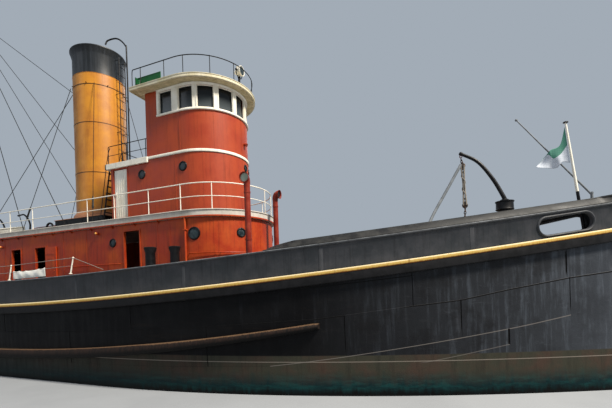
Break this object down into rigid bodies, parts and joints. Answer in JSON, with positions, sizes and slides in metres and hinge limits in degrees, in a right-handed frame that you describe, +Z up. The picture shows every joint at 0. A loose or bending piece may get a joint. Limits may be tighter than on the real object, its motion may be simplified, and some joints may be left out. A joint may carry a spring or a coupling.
{
  "type": "steam tugboat, 1:2 scale model",
  "caption": "Ocean-going steam tugboat with a round-fronted pilothouse tower, tall funnel, rub rails and a counter stern, as a half-size model afloat.",
  "frame": {"origin": "on the waterline, amidships, on the centreline", "axes": "+X forward to the stem, +Y to port, +Z up"},
  "size_m": [23.0781, 4.185, 12.685],
  "materials": {
    "hull_black": "weathered matt black",
    "bulwark_grey": "matt dark grey",
    "rail_yellow": "worn yellow edge",
    "fender_rust": "rusty brown",
    "house_red": "semi-gloss red",
    "white": "semi-gloss white",
    "cream": "semi-gloss cream",
    "buff": "semi-gloss buff",
    "black": "semi-gloss black",
    "glass": "window glass",
    "green": "green",
    "signal_red": "red",
    "flag_cloth": "green and white cloth",
    "canvas": "off-white canvas",
    "bronze": "dull bronze",
    "iron": "weathered iron"
  },
  "bodies": {
    "ship": {"hull": "hull_black", "engine_block": "iron", "bow_strake": "bulwark_grey", "stern_frame": "hull_black", "deckhouse_walls": "house_red", "boat_deck": "white", "boat_deck_rail": "white", "upper_house_walls": "house_red", "pilothouse_platform": "white", "pilothouse_walls": "house_red", "pilothouse_glass": "glass", "pilothouse_roof": "cream", "roof_rail": "black", "funnel": "buff", "funnel_casing": "black", "funnel_ladder_and_pipe": "black", "mast": "buff", "mast_stays": "iron", "skylight": "house_red", "cowl_vent_starboard": "house_red", "cowl_vent_centre": "house_red", "towing_winch_frame": "iron", "towing_bitts": "black", "windlass_frame": "iron", "davit_pedestal": "black", "davit_tackle": "iron", "jackstaff": "white", "flag": "flag_cloth", "steering_pole": "black", "canvas_dodger": "canvas", "sidelight_starboard": "green", "sidelight_port": "signal_red", "bulwark_starboard": "bulwark_grey", "rub_rail_starboard": "rail_yellow", "lower_fender_starboard": "fender_rust", "lifeboat_starboard": "white", "bulwark_port": "bulwark_grey", "rub_rail_port": "rail_yellow", "lower_fender_port": "fender_rust", "lifeboat_port": "white"},
    "rudder_body": {"rudder": "hull_black"},
    "propeller_body": {"propeller": "bronze"},
    "searchlight_body": {"searchlight": "white"},
    "pilothouse_door_body": {"pilothouse_door": "house_red"},
    "towing_winch_drum_body": {"towing_winch_drum": "iron"},
    "windlass_barrel_body": {"windlass_barrel": "iron"},
    "anchor_davit_body": {"anchor_davit": "black"},
    "deckhouse_door_forward_starboard_body": {"deckhouse_door_forward_starboard": "house_red"},
    "deckhouse_door_middle_starboard_body": {"deckhouse_door_middle_starboard": "house_red"},
    "upper_house_door_starboard_body": {"upper_house_door_starboard": "white"},
    "boat_davit_forward_starboard_body": {"boat_davit_forward_starboard": "black"},
    "boat_davit_after_starboard_body": {"boat_davit_after_starboard": "black"},
    "skylight_lid_starboard_body": {"skylight_lid_starboard": "house_red"},
    "deckhouse_door_forward_port_body": {"deckhouse_door_forward_port": "house_red"},
    "deckhouse_door_middle_port_body": {"deckhouse_door_middle_port": "house_red"},
    "upper_house_door_port_body": {"upper_house_door_port": "white"},
    "boat_davit_forward_port_body": {"boat_davit_forward_port": "black"},
    "boat_davit_after_port_body": {"boat_davit_after_port": "black"},
    "skylight_lid_port_body": {"skylight_lid_port": "house_red"}
  },
  "joints": [
    {"name": "rudder_turn", "type": "hinge", "parent": "ship", "child": "rudder_body", "pos_m": [-9.85, 0, -0.75], "axis": [0, 0, 1], "range_deg": [-35, 35]},
    {"name": "propeller_turn", "type": "hinge", "parent": "ship", "child": "propeller_body", "pos_m": [-9.12, 0, -0.78], "axis": [1, 0, 0], "continuous": true},
    {"name": "searchlight_pan", "type": "hinge", "parent": "ship", "child": "searchlight_body", "pos_m": [5.09, 0, 6.04], "axis": [0, 0, 1], "continuous": true},
    {"name": "pilothouse_door_swing", "type": "hinge", "parent": "ship", "child": "pilothouse_door_body", "pos_m": [3.435, 0.162, 4.8], "axis": [0, 0, 1], "range_deg": [0, 90]},
    {"name": "towing_winch_turn", "type": "hinge", "parent": "ship", "child": "towing_winch_drum_body", "pos_m": [-6.15, 0, 2.05426], "axis": [0, 1, 0], "continuous": true},
    {"name": "windlass_turn", "type": "hinge", "parent": "ship", "child": "windlass_barrel_body", "pos_m": [8.4, 0, 2.32486], "axis": [0, 1, 0], "continuous": true},
    {"name": "anchor_davit_swing", "type": "hinge", "parent": "ship", "child": "anchor_davit_body", "pos_m": [9.775, -0.39, 2.85], "axis": [0, 0, 1], "range_deg": [-180, 180]},
    {"name": "deckhouse_door_forward_starboard_swing", "type": "hinge", "parent": "ship", "child": "deckhouse_door_forward_starboard_body", "pos_m": [3.407, -1.06, 2.25], "axis": [0, 0, 1], "range_deg": [0, 90]},
    {"name": "deckhouse_door_middle_starboard_swing", "type": "hinge", "parent": "ship", "child": "deckhouse_door_middle_starboard_body", "pos_m": [0.708, -1.118, 2.15], "axis": [0, 0, 1], "range_deg": [-180, 0]},
    {"name": "upper_house_door_starboard_swing", "type": "hinge", "parent": "ship", "child": "upper_house_door_starboard_body", "pos_m": [2.842, -0.7865, 3.65], "axis": [0, 0, 1], "range_deg": [-90, 0]},
    {"name": "boat_davit_forward_starboard_swing", "type": "hinge", "parent": "ship", "child": "boat_davit_forward_starboard_body", "pos_m": [-3.4, -1.1125, 3.5], "axis": [0, 0, 1], "range_deg": [-90, 90]},
    {"name": "boat_davit_after_starboard_swing", "type": "hinge", "parent": "ship", "child": "boat_davit_after_starboard_body", "pos_m": [-4.7, -1.1125, 3.5], "axis": [0, 0, 1], "range_deg": [-90, 90]},
    {"name": "skylight_lid_starboard_lift", "type": "hinge", "parent": "ship", "child": "skylight_lid_starboard_body", "pos_m": [-0.85, -0.023, 3.387], "axis": [1, 0, 0], "range_deg": [-50, 0]},
    {"name": "deckhouse_door_forward_port_swing", "type": "hinge", "parent": "ship", "child": "deckhouse_door_forward_port_body", "pos_m": [3.407, 1.06, 2.25], "axis": [0, 0, 1], "range_deg": [-90, 0]},
    {"name": "deckhouse_door_middle_port_swing", "type": "hinge", "parent": "ship", "child": "deckhouse_door_middle_port_body", "pos_m": [0.708, 1.118, 2.15], "axis": [0, 0, 1], "range_deg": [0, 180]},
    {"name": "upper_house_door_port_swing", "type": "hinge", "parent": "ship", "child": "upper_house_door_port_body", "pos_m": [2.842, 0.7865, 3.65], "axis": [0, 0, 1], "range_deg": [0, 90]},
    {"name": "boat_davit_forward_port_swing", "type": "hinge", "parent": "ship", "child": "boat_davit_forward_port_body", "pos_m": [-3.4, 1.1125, 3.5], "axis": [0, 0, 1], "range_deg": [-90, 90]},
    {"name": "boat_davit_after_port_swing", "type": "hinge", "parent": "ship", "child": "boat_davit_after_port_body", "pos_m": [-4.7, 1.1125, 3.5], "axis": [0, 0, 1], "range_deg": [-90, 90]},
    {"name": "skylight_lid_port_lift", "type": "hinge", "parent": "ship", "child": "skylight_lid_port_body", "pos_m": [-0.85, 0.023, 3.387], "axis": [1, 0, 0], "range_deg": [0, 50]}
  ]
}
